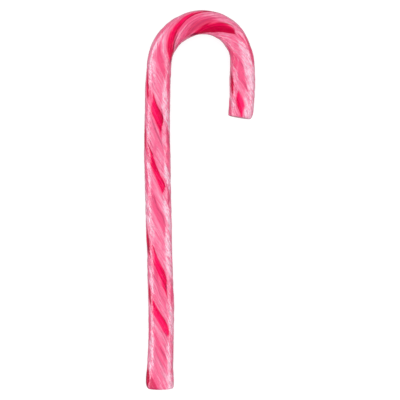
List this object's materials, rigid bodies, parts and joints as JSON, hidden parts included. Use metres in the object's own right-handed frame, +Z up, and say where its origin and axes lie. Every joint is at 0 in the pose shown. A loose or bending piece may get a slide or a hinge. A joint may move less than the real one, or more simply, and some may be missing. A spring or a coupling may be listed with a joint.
{
  "type": "candy cane",
  "caption": "Hand-pulled candy cane: a twisted pink and crimson sugar rod bent into a crook, with plain cut ends, lying on its side.",
  "frame": {"origin": "middle of the outline seen from above, on the surface that the cane lies on", "axes": "+Y runs up the shaft from the foot to the crown of the crook, +X points from the shaft towards the tip, +Z points up out of the plane of the crook"},
  "size_m": [0.044, 0.15, 0.0099],
  "materials": {
    "pulled_sugar": "glossy pulled sugar, pale pink with crimson and rose strands"
  },
  "bodies": {
    "root": {"candy_cane": "pulled_sugar"}
  },
  "joints": []
}
